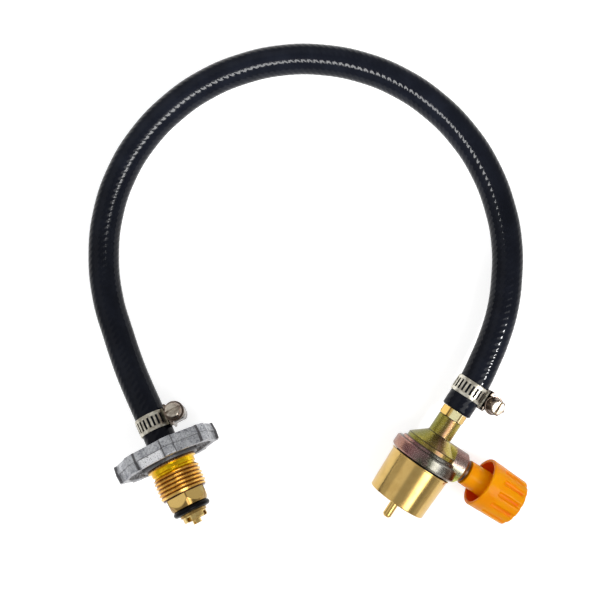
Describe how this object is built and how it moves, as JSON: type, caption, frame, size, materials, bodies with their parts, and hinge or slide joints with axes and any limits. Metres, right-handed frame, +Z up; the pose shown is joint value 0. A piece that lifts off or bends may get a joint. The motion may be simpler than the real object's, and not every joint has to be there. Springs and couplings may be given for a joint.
{
  "type": "propane regulator hose",
  "caption": "Short black gas hose with a left-hand cylinder connector and hand wheel at one end, and a needle valve with an orange knob, a bottle cup and a filling probe at the other.",
  "frame": {"origin": "on the surface that the part lies on, under the middle of the two end fittings taken together without the hose", "axes": "+Z up; -Y along the valve's axis, the way the filling probe points; +X towards the knob's side"},
  "size_m": [0.2524, 0.2369, 0.0487],
  "materials": {
    "hose_rubber": "satin black rubber with a woven relief",
    "seal_rubber": "smooth black rubber",
    "zinc_casting": "raw die casting, light grey, with a parting line",
    "union_brass": "turned orange brass with a bright neck",
    "nose_brass": "turned pale brass",
    "tail_brass": "bright pale brass",
    "cup_brass": "polished gold brass",
    "chromated_steel": "yellow chromate with olive, pink and green tints",
    "clamp_steel": "bright strip steel",
    "screw_steel": "machined steel",
    "spring_steel": "drawn wire",
    "dark_brass": "darkened turned brass",
    "knob_plastic": "glossy orange plastic"
  },
  "bodies": {
    "hose_assembly": {"hose": "hose_rubber", "pol_nipple": "nose_brass", "nose_o_ring": "seal_rubber", "flow_guard_cage": "nose_brass", "flow_guard_spring": "spring_steel", "left_clamp_band": "clamp_steel", "left_clamp_housing": "clamp_steel", "right_clamp_band": "clamp_steel", "right_clamp_housing": "clamp_steel", "hose_tail": "tail_brass", "valve_body": "chromated_steel", "cup_gasket": "seal_rubber", "bottle_cup": "cup_brass", "bottle_seal": "seal_rubber", "fill_probe": "cup_brass", "gland_nut": "dark_brass"},
    "pol_union": {"pol_nut": "union_brass", "handwheel": "zinc_casting"},
    "flow_plunger": {"flow_guard_plunger": "nose_brass"},
    "left_worm": {"left_clamp_screw": "screw_steel"},
    "right_worm": {"right_clamp_screw": "screw_steel"},
    "spindle_carrier": {"spindle_o_ring": "seal_rubber"},
    "valve_knob": {"valve_spindle": "tail_brass", "knob": "knob_plastic", "knob_screw": "screw_steel"}
  },
  "joints": [
    {"name": "union_turn", "type": "hinge", "parent": "hose_assembly", "child": "pol_union", "pos_m": [-0.0645, -0.04415, 0.02435], "axis": [0.8484, -0.48, 0.2232], "continuous": true},
    {"name": "guard_plunger", "type": "slide", "parent": "hose_assembly", "child": "flow_plunger", "axis": [-0.8484, 0.48, -0.2232], "range_m": [0, 0.0012], "stiffness_N_per_m": 200, "springref_m": -0.002, "deforming": ["flow_guard_spring"]},
    {"name": "left_clamp_turn", "type": "hinge", "parent": "hose_assembly", "child": "left_worm", "pos_m": [-0.07158, -0.02685, 0.02016], "axis": [-0.1595, 0.1704, 0.9724], "continuous": true},
    {"name": "right_clamp_turn", "type": "hinge", "parent": "hose_assembly", "child": "right_worm", "pos_m": [0.04877, 0.0577, 0.01336], "axis": [0.2706, 0, 0.9627], "continuous": true},
    {"name": "spindle_travel", "type": "slide", "parent": "hose_assembly", "child": "spindle_carrier", "axis": [0.9951, 0, -0.0993], "range_m": [0, 0.002]},
    {"name": "knob_turn", "type": "hinge", "parent": "spindle_carrier", "child": "valve_knob", "pos_m": [0.0376, 0.0241, 0.0165], "axis": [0.9951, 0, -0.0993], "range_deg": [0, 720]}
  ],
  "couplings": [
    {"joint": "knob_turn", "follows": "spindle_travel", "rad_per_m": 6283.2}
  ]
}
